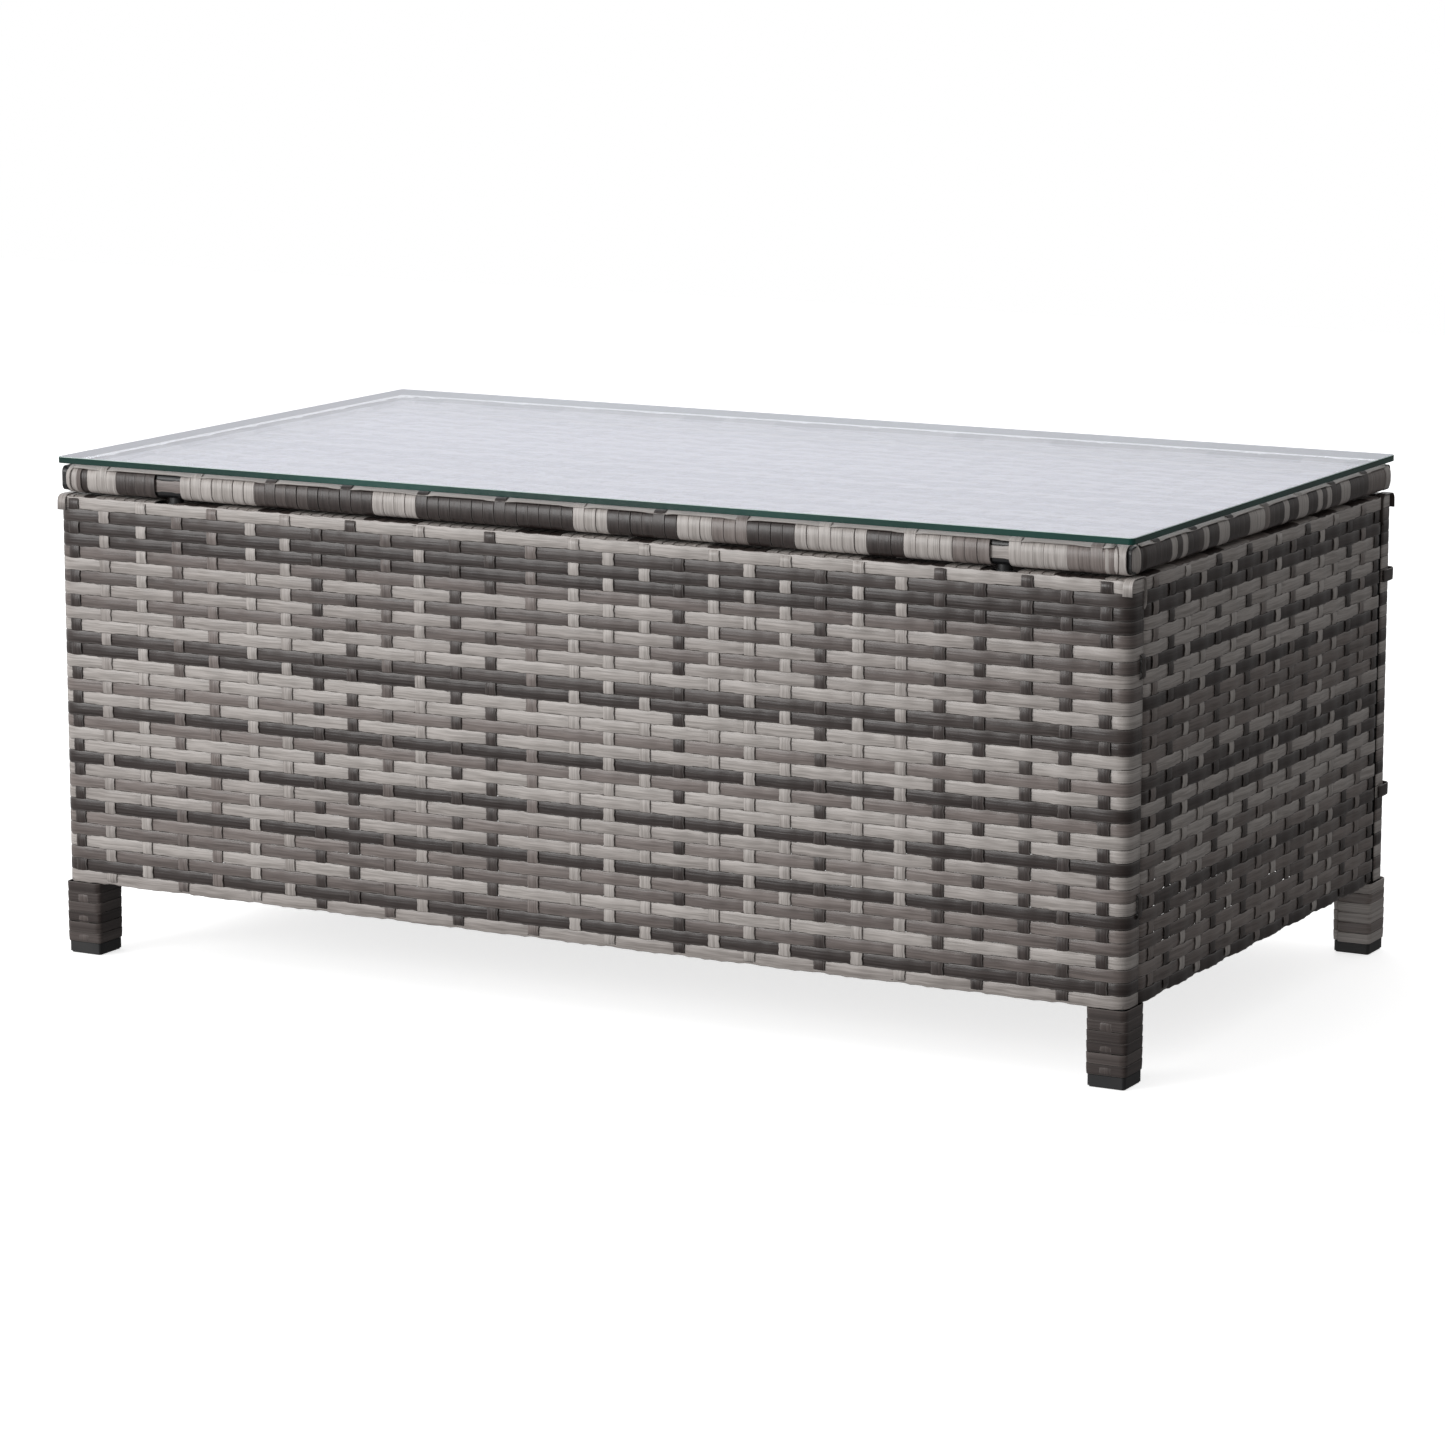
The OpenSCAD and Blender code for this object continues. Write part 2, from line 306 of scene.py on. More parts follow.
def closeTree(wire, geometry, position, rim, finish):
    # smooth all over, but crisp where across is at the given rim
    placed = wire.node("GeometryNodeSetPosition", {}, {"Geometry": geometry, "Position": position})
    smooth = wire.node("GeometryNodeSetShadeSmooth", {}, {"Geometry": placed})
    onRim = abs(readField(wire, "across")).maths("COMPARE", rim, 0.012)
    crisp = wire.node("GeometryNodeSetShadeSmooth", {"domain": "EDGE"},
                      {"Geometry": smooth, "Selection": onRim, "Shade Smooth": False})
    done = wire.node("GeometryNodeSetMaterial", {}, {"Geometry": crisp, "Material": finish})
    wire.node("NodeGroupOutput", {}, {0: done})


def buildStrandTree():
    # straight flat strands along X, over and under at each crossing, turned back round both ends
    tree, given = newTree("strandWeave", {
        "Crossings": "Object", "Length": "Float", "Half": "Float", "Corner": "Float", "Width": "Float",
        "Thickness": "Float", "Lift": "Float", "Ramp": "Float", "Flat": "Float", "Phase": "Float",
        "Alternate": "Float", "Wander": "Float", "Steps": "Int", "Finish": "Material"})
    wire = given["Geometry"]
    made, own, middle, position = rawSticks(wire, given, strandShape["sides"])
    across = own.part(0).signedPower(strandShape["across"])
    skin = own.part(1).signedPower(strandShape["skin"])
    along = own.part(2) * given["Length"]
    order = readField(wire, "order")
    marks = wire.node("GeometryNodeObjectInfo", {}, {"Object": given["Crossings"]}, "Geometry")
    nearest = wire.node("GeometryNodeSampleNearest", {"domain": "POINT"},
                        {"Geometry": marks, "Sample Position": wire.point(along, 0.0, 0.0)})
    mark = wire.node("GeometryNodeSampleIndex", {"data_type": "FLOAT_VECTOR", "domain": "POINT"},
                     {"Geometry": marks, "Value": position, "Index": nearest})
    near = 1.0 - abs(along - mark.part(0)).ease(given["Flat"], given["Ramp"])
    parity = (nearest * given["Alternate"] + order + given["Phase"]).maths("FLOORED_MODULO", 2.0)
    side = 1.0 - parity * 2.0
    drift = wire.noise(wire.point(along * 9.0, order * 3.7, 2.5), 1.0, 1.0) - 0.5
    swell = wire.noise(wire.point(along * 14.0, order * 5.1, 8.5), 1.0, 1.0) - 0.5
    spread = near * (1.0 - near) * 0.52 - near * parity * 0.05
    halfWidth = given["Width"] * 0.5 * (1.0 + spread)
    height = side * near * given["Lift"] + skin * given["Thickness"] * 0.5 + swell * given["Wander"] * 0.8
    past = (abs(along) - (given["Half"] - given["Corner"])).maths("MAXIMUM", 0.0)
    turn = (past / given["Corner"]).maths("MINIMUM", math.pi / 2)
    rest = (past - given["Corner"] * (math.pi / 2)).maths("MAXIMUM", 0.0)
    reach = given["Corner"] + height
    flat = abs(along).maths("MINIMUM", given["Half"] - given["Corner"])
    x = along.maths("SIGN") * (flat + reach * turn.maths("SINE")) + middle.part(0)
    y = middle.part(1) + given["Corner"] - reach * turn.maths("COSINE") + rest
    z = middle.part(2) + across * halfWidth + drift * given["Wander"]
    made = storeField(wire, made, "across", across)
    made = storeField(wire, made, "along", along)
    closeTree(wire, made, wire.point(x, y, z), strandShape["noRim"], given["Finish"])
    return tree


def buildWindTree():
    # bands wound round a square tube that runs along X
    tree, given = newTree("bandWinding", {
        "Depth": "Float", "Height": "Float", "Squareness": "Float", "Width": "Float", "Thickness": "Float",
        "Lean": "Float", "Tilt": "Float", "Bump Turn": "Float", "Bump Reach": "Float", "Steps": "Int",
        "Finish": "Material"})
    wire = given["Geometry"]
    made, own, middle, position = rawSticks(wire, given, bandShape["sides"])
    across = own.part(0).signedPower(bandShape["across"])
    skin = own.part(1).signedPower(bandShape["skin"])
    first = readField(wire, "startTurn")
    last = readField(wire, "endTurn")
    lift = readField(wire, "lift")
    order = readField(wire, "order")
    turn = first + (last - first) * (own.part(2) + 0.5)
    angle = turn * (2.0 * math.pi)
    cosine = angle.maths("COSINE")
    sine = angle.maths("SINE")
    squareness = given["Squareness"]
    halfDepth = given["Depth"] * 0.5
    halfHeight = given["Height"] * 0.5
    sideY = cosine.signedPower(squareness) * halfDepth
    sideZ = sine.signedPower(squareness) * halfHeight
    outY = cosine.signedPower(2.0 - squareness) / halfDepth
    outZ = sine.signedPower(2.0 - squareness) / halfHeight
    size = (outY * outY + outZ * outZ) ** 0.5
    gap = abs(turn.maths("FRACT") - given["Bump Turn"])
    rise = lift * (1.0 - gap.ease(given["Bump Reach"] * 0.3, given["Bump Reach"]))
    swell = wire.noise(wire.point(turn * 2.0, order * 4.3, 1.5), 1.0, 1.0) - 0.5
    away = skin * given["Thickness"] * 0.5 + rise + swell * 0.0004 + across * given["Tilt"]
    x = middle.part(0) + across * given["Width"] * 0.5 + given["Lean"] * (turn - 0.5) + swell * 0.0008
    y = middle.part(1) + sideY + outY / size * away
    z = middle.part(2) + sideZ + outZ / size * away
    made = storeField(wire, made, "across", across * bandShape["inset"])
    made = storeField(wire, made, "along", turn * 0.085)     # metres round one turn
    rim = bandShape["inset"] * math.cos(math.pi / 4) ** bandShape["across"]
    closeTree(wire, made, wire.point(x, y, z), rim, given["Finish"])
    return tree


strandTree = buildStrandTree()
windTree = buildWindTree()
print("trees made")


# strand tones, from the darkest to the lightest
toneOf = {"K": 0.0, "D": 0.08, "e": 0.15, "d": 0.28, "m": 0.5, "l": 0.82, "L": 1.0}
toneChange = 0.05


def tonesFrom(letters, seed):
    draw = random.Random(seed)
    return [toneOf[letter] + draw.uniform(-toneChange, toneChange) for letter in letters]


def spread(text):
    # "L3 D2" stands for LLLDD
    return "".join(word[0] * int(word[1:]) for word in text.split())


def draftPoints(name, points, fields):
    mesh = bpy.data.meshes.new(name)
    mesh.from_pydata([tuple(c * mm for c in point) for point in points], [], [])
    for label, values in fields.items():
        layer = mesh.attributes.new(label, "FLOAT", "POINT")
        layer.data.foreach_set("value", [float(value) for value in values])
    draft = bpy.data.objects.new(name, mesh)
    bpy.context.scene.collection.objects.link(draft)
    return draft


def runTree(tree, draft, values):
    modifier = draft.modifiers.new("build", "NODES")
    modifier.node_group = tree
    for item in tree.interface.items_tree:
        if item.in_out == "INPUT" and item.name in values:
            modifier[item.identifier] = values[item.name]
    bpy.context.view_layer.update()
    depsgraph = bpy.context.evaluated_depsgraph_get()
    mesh = bpy.data.meshes.new_from_object(draft.evaluated_get(depsgraph), preserve_all_data_layers=True,
                                           depsgraph=depsgraph)
    draft.modifiers.remove(modifier)
    bpy.data.objects.remove(draft)
    return mesh


def layStrands(places, tones, crossings, facts):
    fields = {"tone": tones, "order": range(len(places))}
    draft = draftPoints("draft", places, fields)
    marks = draftPoints("marks", [(u, 0, 0) for u in crossings], {})
    values = {name: value * mm for name, value in facts.items() if name in
              ("Length", "Half", "Corner", "Width", "Thickness", "Lift", "Ramp", "Flat", "Wander")}
    values.update({"Phase": float(facts["Phase"]), "Alternate": float(facts["Alternate"])})
    values.update({"Steps": int(facts["Length"] / facts["Step"]), "Crossings": marks})
    values["Finish"] = strandFinish
    mesh = runTree(strandTree, draft, values)
    bpy.data.objects.remove(marks)
    return mesh


def windBands(places, tones, lifts, turns, facts):
    fields = {"tone": tones, "order": range(len(places)), "lift": [value * mm for value in lifts]}
    fields["startTurn"] = [pair[0] for pair in turns]
    fields["endTurn"] = [pair[1] for pair in turns]
    draft = draftPoints("draft", places, fields)
    values = {name: value * mm for name, value in facts.items() if name in
              ("Depth", "Height", "Width", "Thickness", "Lean", "Tilt")}
    values.update({"Squareness": facts["Squareness"], "Bump Turn": facts["Bump Turn"]})
    values.update({"Bump Reach": facts["Bump Reach"], "Steps": facts["Steps"], "Finish": strandFinish})
    return runTree(windTree, draft, values)


def addPiece(name, mesh, body="table", standsFor=()):
    mesh.name = name
    piece = bpy.data.objects.new(name, mesh)
    bpy.context.scene.collection.objects.link(piece)
    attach(piece, body)
    if standsFor:
        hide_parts(*standsFor)
    return piece


def turned(angle, shift=(0, 0, 0)):
    return Matrix.Rotation(math.radians(angle), 4, "Z") @ Matrix.Translation([c * mm for c in shift])


upright = Matrix.Rotation(math.radians(-90), 4, "Y")

panelFacts = {
    "rows": 32,
    "rowPitch": 9.45,
    "bottom": 57.0,
    "top": 360.0,
    "skinDepth": 1.45,       # from the outer face to the middle of the weave
    "endRadius": 6.5,        # where the rows of a long panel turn its ends
    "bendRadius": 3.2,       # at the other bends
    "rowReach": 20.5,        # how far a row runs behind its panel, with the bend's radius
    "uprightReach": 14.0,
    "uprightInset": 1.1,     # the uprights bend a little inside the rows
    "uprightRise": 0.35,
    "railDepth": 12.2,       # from the outer face to the middle of the rail
    "railEnd": 4.0,
    "railPitch": 9.3,
    "sleeveAt": 348.0,       # the top winding leaves room for the sleeves here
    "sleeveRoom": 15.0,
    "loopEnd": 3.7,
}

rowRun = {"Width": 9.42, "Thickness": 1.15, "Lift": 0.92, "Ramp": 11.5, "Flat": 3.4, "Wander": 0.13,
          "Phase": 1, "Alternate": 1, "Step": 4.6}
uprightRun = {"Width": 9.0, "Thickness": 1.15, "Lift": 0.52, "Ramp": 4.6, "Flat": 1.6, "Wander": 0.5,
              "Phase": 0, "Alternate": 1, "Step": 2.9}

# turns count from the inner side of a rail, over its top; a bump turn of 2 is none
railRun = {"Depth": 22.4, "Height": 22.0, "Squareness": 0.42, "Width": 9.3, "Thickness": 1.0, "Lean": 2.5,
           "Tilt": 0.2, "Bump Turn": 2.0, "Bump Reach": 0.1, "Steps": 14}
railPlaces = {"Top": (349.1, (-0.16, 0.40)), "Bottom": (68.3, (0.60, 1.16))}
loopRun = dict(railRun, Depth=25.0, Height=23.4, Width=7.8, Lean=0.5, Tilt=0.15)
loopTurns = (-0.16, 0.50)

# spaces between the uprights of the long side, from its left end
longSpaces = (14, 28, 34, 33, 32, 35, 31, 28, 30, 31, 29, 31, 30, 35, 36, 29, 30, 28, 29, 29, 29, 28, 30,
              34, 30, 31, 36, 30, 30)
shortSpaces = (20,) + (28.2,) * 15

panels = {
    "front": {"angle": 0, "half": 450.0, "out": 250.0, "spaces": longSpaces,
              "rows": "LDDDdldldlLDDLLmLKmLLKlmlKmdLdDl", "uprights": "DlLdmLlDDdlDDmLLLDLLLDLlDDDDD",
              "top": "L2 D1 L6 D6 L4 D3 L7 D5 L9 D4 L6 D2 L5 D5 L8 D7 L9 D4", "loops": "lL"},
    "right": {"angle": 90, "half": 227.0, "out": 450.0, "spaces": shortSpaces,
              "rows": "lDDlllDllDmddmlDDlDlldlmDdmdmmdD", "uprights": "mDLlDLDmLdDLlDmD",
              "top": "D3 L3 m6 D3 L5 m4 D6 L4 D4 L3 D4 m4"},
    "back": {"angle": 180, "half": 450.0, "out": 250.0, "spaces": longSpaces[::-1],
             "rows": "LdDDlLdLDlmDLKLLmKLdLmKLLDmlDLdL", "uprights": "LDdLmLDlDLLdDLmDLlDdLLDDLmDLd",
             "top": "D2 L5 D3 L7 D5 L4 D6 L8 D3 L5 D7 L6 D4 L7 D3 L9 D4 L5", "loops": "el"},
    "left": {"angle": -90, "half": 227.0, "out": 450.0, "spaces": shortSpaces,
             "rows": "LDdLlDLmDLLdmLDKLlDmLdLDlmLDdLDm", "uprights": "DLmLDdLLDmLDlLDm",
             "top": "L3 D4 L5 m3 D5 L4 D6 L3 m5 D4 L4 D4"},
}


def bent(run, half, radius, reach):
    # a run that turns back round both ends, half from its middle
    return dict(run, Half=half, Corner=radius, Length=2 * (half - radius + radius * math.pi / 2 + reach))


def weavePanel(side, seed):
    panel = panels[side]
    facts = panelFacts
    isLong = panel["half"] > 300
    middleHeight = (facts["bottom"] + facts["top"]) / 2
    plane = -(panel["out"] - facts["skinDepth"])
    across = []
    reached = -panel["half"]
    for space in panel["spaces"]:
        reached += space
        across.append(reached)
    topRow = facts["rows"] * facts["rowPitch"] / 2 - facts["rowPitch"] / 2
    heights = [topRow - facts["rowPitch"] * i for i in range(facts["rows"])]
    radius = facts["endRadius"] if isLong else facts["bendRadius"]
    run = bent(rowRun, panel["half"] - facts["skinDepth"], radius, facts["rowReach"] - radius)
    places = [(0, plane, middleHeight + height) for height in heights]
    mesh = layStrands(places, tonesFrom(panel["rows"], seed), across, run)
    mesh.transform(turned(panel["angle"]))
    addPiece(side + "Rows", mesh, "table", (side + "_weave",))

    half = (facts["top"] - facts["bottom"]) / 2 - facts["uprightInset"]
    run = bent(uprightRun, half, facts["bendRadius"], facts["uprightReach"])
    places = [(0, 0, -x) for x in across]
    mesh = layStrands(places, tonesFrom(panel["uprights"], seed + 1), heights, run)
    shift = (0, plane, middleHeight + facts["uprightRise"])
    mesh.transform(turned(panel["angle"], shift) @ upright)
    addPiece(side + "Uprights", mesh)

    # the rails are wound from front to back between the uprights
    span = panel["half"] - facts["railEnd"]
    count = int(2 * span / facts["railPitch"])
    letters = (spread(panel["top"]) * 2)[:count]
    pitch = 2 * span / count
    edges = [-span + pitch * (i + 0.5) for i in range(count)]
    clear = [i for i in range(count) if abs(abs(edges[i]) - facts["sleeveAt"]) >= facts["sleeveRoom"]]
    tones = tonesFrom(letters, seed + 2)
    depth = -(panel["out"] - facts["railDepth"])
    for label, (height, turns) in railPlaces.items():
        kept = clear if isLong and label == "Top" else range(count)
        places = [(edges[i], depth, height) for i in kept]
        mesh = windBands(places, [tones[i] for i in kept], [0] * len(places), [turns] * len(places), railRun)
        mesh.transform(turned(panel["angle"]))
        addPiece(side + label + "Winding", mesh)
    if isLong:
        # a loose loop over each end of the top rail
        places = [(end * (panel["half"] - facts["loopEnd"]), depth, railPlaces["Top"][0]) for end in (-1, 1)]
        mesh = windBands(places, tonesFrom(panel["loops"], seed + 3), [0, 0], [loopTurns] * 2, loopRun)
        mesh.transform(turned(panel["angle"]))
        addPiece(side + "TopLoops", mesh)
    print("woven:", side)


for index, sideName in enumerate(panels):
    weavePanel(sideName, 40 + 10 * index)

seamFacts = {
    "heights": (298.0, 128.5),
    "length": 17.0,
    "tails": 9.0,
    "along": -231.0,
    "out": 450.9,
    "loopMiddle": (438.6, 238.6),
}
seamRun = {"Corner": 2.4, "Width": 6.5, "Thickness": 1.1, "Lift": 0.0, "Ramp": 5.0, "Flat": 1.0,
           "Wander": 0.3, "Phase": 0, "Alternate": 0, "Step": 0.9}
seamLoopRun = {"Depth": 25.6, "Height": 25.6, "Squareness": 0.42, "Width": 9.6, "Thickness": 1.1, "Lean": 0.0,
               "Tilt": 0.1, "Bump Turn": 2.0, "Bump Reach": 0.1, "Steps": 26}
seamSides = {"right": (90, 1, (0.67, 1.08)), "left": (-90, -1, (-0.08, 0.33))}


def seamStrands():
    # each corner seam is closed where its bolts are: a short upright strand in front, a loop behind
    facts = seamFacts
    middle = (panelFacts["bottom"] + panelFacts["top"]) / 2
    run = dict(seamRun, Half=facts["length"] / 2, Length=facts["length"] + facts["tails"])
    for side, (angle, mirror, turns) in seamSides.items():
        places = [(height - middle, -facts["out"], -facts["along"] * mirror) for height in facts["heights"]]
        mesh = layStrands(places, tonesFrom("KD", 85), [0.0], run)
        mesh.transform(turned(angle, (0, 0, middle)) @ upright)
        addPiece(side + "SeamStrands", mesh)
        places = [(height, 0, 0) for height in facts["heights"]]
        mesh = windBands(places, tonesFrom("DK", 86), [0, 0], [turns] * 2, seamLoopRun)
        x, y = facts["loopMiddle"]
        mesh.transform(Matrix.Translation((x * mirror * mm, y * mm, 0)) @ upright)
        addPiece(side + "SeamLoops", mesh)


seamStrands()

ringFacts = {
    "bottom": 362.5,
    "top": 384.0,
    "depth": 23.05,
    "skin": 1.2,
    "sway": 0.25,           # how far a band may stray from its place
    "bareSpans": ((-362.0, -338.0), (339.5, 354.5)),
    "bareDepth": 2.8,
    "bareHeight": 372.9,
    "bareTones": (0.42, 0.85),
    "runnerEvery": 7,       # a band in this many holds the runner down
    "runnerLift": 1.1,
    "runnerTone": 0.95,
    "runnerEnds": 14.0,
    "runnerDepth": 3.6,
    "runnerHeight": 383.25,
    "runnerTilt": -66.0,
}
ringRun = {"Squareness": 0.64, "Width": 9.75, "Lean": 1.6, "Tilt": 0.12, "Bump Turn": 0.347,
           "Bump Reach": 0.085, "Steps": 26}
ringTurns = (0.80, 1.80)
runnerRun = {"Corner": 5.0, "Width": 6.4, "Thickness": 0.8, "Lift": 0.9, "Ramp": 14.0, "Flat": 4.5,
             "Wander": 0.4, "Phase": 1, "Alternate": 0, "Step": 5.0}
bareRun = dict(runnerRun, Length=34.0, Half=60.0, Width=9.0, Thickness=1.0, Lift=0.0, Step=4.0)

# each run is where it starts and ends, and its bands from that end
ringRuns = {
    "front": (0, 250.0, (
        (-441.5, -362.0, "L1 D1 L3 D4"),
        (-338.0, 339.5, "L7 e5 K6 L4 K14 L3 K6 L3 m3 K4 L6 K3 L4 m3"),
        (354.5, 442.5, "L5 m4 L1"))),
    "right": (90, 450.0, (
        (-240.0, 240.0, "D6 L1 D1 L1 D3 L1 D2 L2 D4 L3 m1 D3 L1 D2 L2 D2 L1 D1 L1 D2 L2 D4 m4 L1"),)),
    "back": (180, 250.0, (
        (-442.5, -354.5, "m3 L4 K3"),
        (-339.5, 338.0, "K4 L5 m4 K5 L6 K3 L7 m4 K6 L5 K4 L3 m3 L6 K6"),
        (362.0, 441.5, "L4 K3 L2"))),
    "left": (-90, 450.0, (
        (-240.0, 240.0, "L2 D5 L3 m4 D3 L5 D4 L3 m3 D5 L4 D4 L3 D3"),)),
}


def woundRing(side, seed):
    angle, out, runs = ringRuns[side]
    facts = ringFacts
    height = (facts["bottom"] + facts["top"]) / 2
    depth = -(out - facts["depth"] / 2)
    places = []
    letters = ""
    for start, end, text in runs:
        bands = spread(text)
        pitch = (end - start) / len(bands)
        places += [(start + pitch * (i + 0.5), depth, height) for i in range(len(bands))]
        letters += bands
    draw = random.Random(seed)
    every = facts["runnerEvery"]
    overs = [i for i in range(3, len(places) - 2) if i % every == 3]
    lifts = [facts["runnerLift"] if i in overs else 0.0 for i in range(len(places))]
    run = dict(ringRun, Depth=facts["depth"] - facts["skin"], Thickness=facts["skin"],
               Height=facts["top"] - facts["bottom"] - facts["skin"])
    places = [(x + draw.uniform(-facts["sway"], facts["sway"]), y, z) for x, y, z in places]
    mesh = windBands(places, tonesFrom(letters, seed), lifts, [ringTurns] * len(places), run)
    mesh.transform(turned(angle))
    addPiece(side + "RingWinding", mesh, "table", ("ring_wrap_" + side,))

    # one strand lies along the top outer edge, and a band now and then holds it down
    length = runs[-1][1] - runs[0][0] - facts["runnerEnds"]
    run = dict(runnerRun, Half=length, Length=length)
    mesh = layStrands([(0, 0, 0)], [facts["runnerTone"]], [places[i][0] for i in overs], run)
    tilt = Matrix.Rotation(math.radians(facts["runnerTilt"]), 4, "X")
    mesh.transform(turned(angle, (0, -(out - facts["runnerDepth"]), facts["runnerHeight"])) @ tilt)
    addPiece(side + "RingRunner", mesh)
    if len(runs) > 1:
        # where the tube is bare, the strand under the winding shows
        middles = [(a + b) / 2 for a, b in facts["bareSpans"]]
        if side == "back":
            middles = [-value for value in middles]
        places = [(x, -(out - facts["bareDepth"]), facts["bareHeight"]) for x in middles]
        mesh = layStrands(places, facts["bareTones"], [0.0], bareRun)
        mesh.transform(turned(angle))
        addPiece(side + "BareStrands", mesh)


for index, sideName in enumerate(ringRuns):
    woundRing(sideName, 90 + 10 * index)

cornerFacts = {
    "pivot": (427.2, 227.2),
    "height": 373.2,
    "skin": 1.2,
    "fan": ((14, 23.4), (36, 26.0), (56, 26.0), (77, 23.4)),     # heading and depth of each band
}
cornerRun = {"Height": 20.3, "Squareness": 0.64, "Width": 8.4, "Thickness": 1.1, "Lean": 0.8, "Tilt": 0.15,
             "Bump Turn": 2.0, "Bump Reach": 0.1, "Steps": 26}


def cornerLoops(name, signX, signY, letters, seed):
    # bands fanned round the mitred corner of the ring
    facts = cornerFacts
    made = bmesh.new()
    tones = tonesFrom(letters, seed)
    for tone, (fan, depth) in zip(tones, facts["fan"]):
        run = dict(cornerRun, Depth=depth - facts["skin"])
        mesh = windBands([(0, -depth / 2, facts["height"])], [tone], [0], [ringTurns], run)
        fan = math.radians(fan)
        heading = math.atan2(signY * math.sin(fan), signX * math.cos(fan)) + math.pi / 2
        x, y = facts["pivot"]
        shift = Matrix.Translation((signX * x * mm, signY * y * mm, 0))
        mesh.transform(shift @ Matrix.Rotation(heading, 4, "Z"))
        made.from_mesh(mesh)
        bpy.data.meshes.remove(mesh)
    whole = bpy.data.meshes.new(name)
    made.to_mesh(whole)
    made.free()
    whole.materials.append(strandFinish)
    addPiece(name, whole)


cornerLoops("frontRightLoops", 1, -1, "DLdL", 131)
cornerLoops("frontLeftLoops", -1, -1, "LDLd", 132)
cornerLoops("backRightLoops", 1, 1, "mLDm", 133)
cornerLoops("backLeftLoops", -1, 1, "LdLD", 134)
print("ring wound")

deckFacts = {"halfLong": 426.4, "halfShort": 226.4, "height": 381.3, "rows": 47, "crossPitch": 29.2,
             "edge": 10.0, "slack": 0.3}
deckRun = {"Half": 500.0, "Corner": 5.0, "Thickness": 1.0, "Lift": 0.5, "Ramp": 12.0, "Flat": 4.0,
           "Wander": 0.3, "Phase": 1, "Alternate": 1, "Step": 6.0}
deckCrossRun = dict(deckRun, Width=9.0, Lift=0.4, Ramp=4.6, Flat=1.6, Phase=0, Step=3.6)


def weaveDeck():
    facts = deckFacts
    pitch = 2 * facts["halfShort"] / facts["rows"]
    heights = [facts["halfShort"] - pitch * (i + 0.5) for i in range(facts["rows"])]
    count = int(2 * (facts["halfLong"] - facts["edge"]) / facts["crossPitch"])
    across = [(i - (count - 1) / 2) * facts["crossPitch"] for i in range(count)]
    draw = random.Random(7)
    lay = Matrix.Translation((0, 0, facts["height"] * mm)) @ Matrix.Rotation(math.radians(-90), 4, "X")
    run = dict(deckRun, Length=2 * facts["halfLong"], Width=pitch - facts["slack"])
    letters = "".join(draw.choice("LLlmdDD") for i in heights)
    mesh = layStrands([(0, 0, height) for height in heights], tonesFrom(letters, 8), across, run)
    mesh.transform(lay)
    addPiece("deckRows", mesh, "table", ("deck_weave",))
    run = dict(deckCrossRun, Length=2 * facts["halfShort"])
    letters = "".join(draw.choice("LlmdDD") for i in across)
    mesh = layStrands([(0, 0, -x) for x in across], tonesFrom(letters, 9), heights, run)
    mesh.transform(lay @ upright)
    addPiece("deckCrossings", mesh)
    print("deck woven")


weaveDeck()

legFacts = {"middle": (434.7, 234.7), "side": 31.6, "bottom": 9.4, "top": 57.2, "bands": 6, "overlap": 0.1,
            "lift": 0.75, "runnerDepth": 0.9, "runnerShort": 1.0, "runnerTone": 0.1}
legRun = {"Squareness": 0.16, "Thickness": 1.1, "Lean": 1.2, "Tilt": 0.2, "Bump Turn": 0.5,
          "Bump Reach": 0.09, "Steps": 32}
legTurns = (-0.02, 0.98)
legRunnerRun = {"Half": 60.0, "Corner": 5.0, "Width": 9.0, "Thickness": 0.9, "Lift": 0.6, "Ramp": 3.9,
                "Flat": 1.3, "Wander": 0.4, "Phase": 0, "Alternate": 1, "Step": 1.9}


def wrapLeg(corner, signX, signY, letters, seed):
    facts = legFacts
    bands = range(facts["bands"])
    pitch = (facts["top"] - facts["bottom"]) / facts["bands"]
    places = [(facts["bottom"] + pitch * (i + 0.5), 0, 0) for i in bands]
    lifts = [facts["lift"] if i % 2 else 0.0 for i in bands]
    thick = facts["side"] - legRun["Thickness"]
    run = dict(legRun, Depth=thick, Height=thick, Width=pitch + facts["overlap"])
    mesh = windBands(places, tonesFrom(letters, seed), lifts, [legTurns] * len(places), run)
    facing = Matrix.Rotation(math.radians(0 if signY < 0 else 180), 4, "Z")
    x, y = facts["middle"]
    spot = Matrix.Translation((signX * x * mm, signY * y * mm, 0))
    mesh.transform(spot @ facing @ upright)
    name = "leg" + corner.replace("_", " ").title().replace(" ", "")
    addPiece(name + "Winding", mesh, "table", ("leg_wrap_" + corner,))

    # an upright strand down the outer face, held by every other band
    middle = (facts["bottom"] + facts["top"]) / 2
    run = dict(legRunnerRun, Length=facts["top"] - facts["bottom"] - facts["runnerShort"])
    marks = [place[0] - middle for place in places]
    mesh = layStrands([(0, 0, 0)], [toneOf[letters[0]] + facts["runnerTone"]], marks, run)
    raised = Matrix.Translation((0, -(facts["side"] / 2 - facts["runnerDepth"]) * mm, middle * mm))
    mesh.transform(spot @ facing @ raised @ upright)
    addPiece(name + "Runner", mesh)


wrapLeg("front_right", 1, -1, "DeKDeD", 151)
wrapLeg("front_left", -1, -1, "eeDeDD", 152)
wrapLeg("back_right", 1, 1, "lmllml", 153)
wrapLeg("back_left", -1, 1, "DdDdDe", 154)
print("legs wrapped")

plateFacts = {"corner": 4.0, "arris": 0.4, "steps": 8}


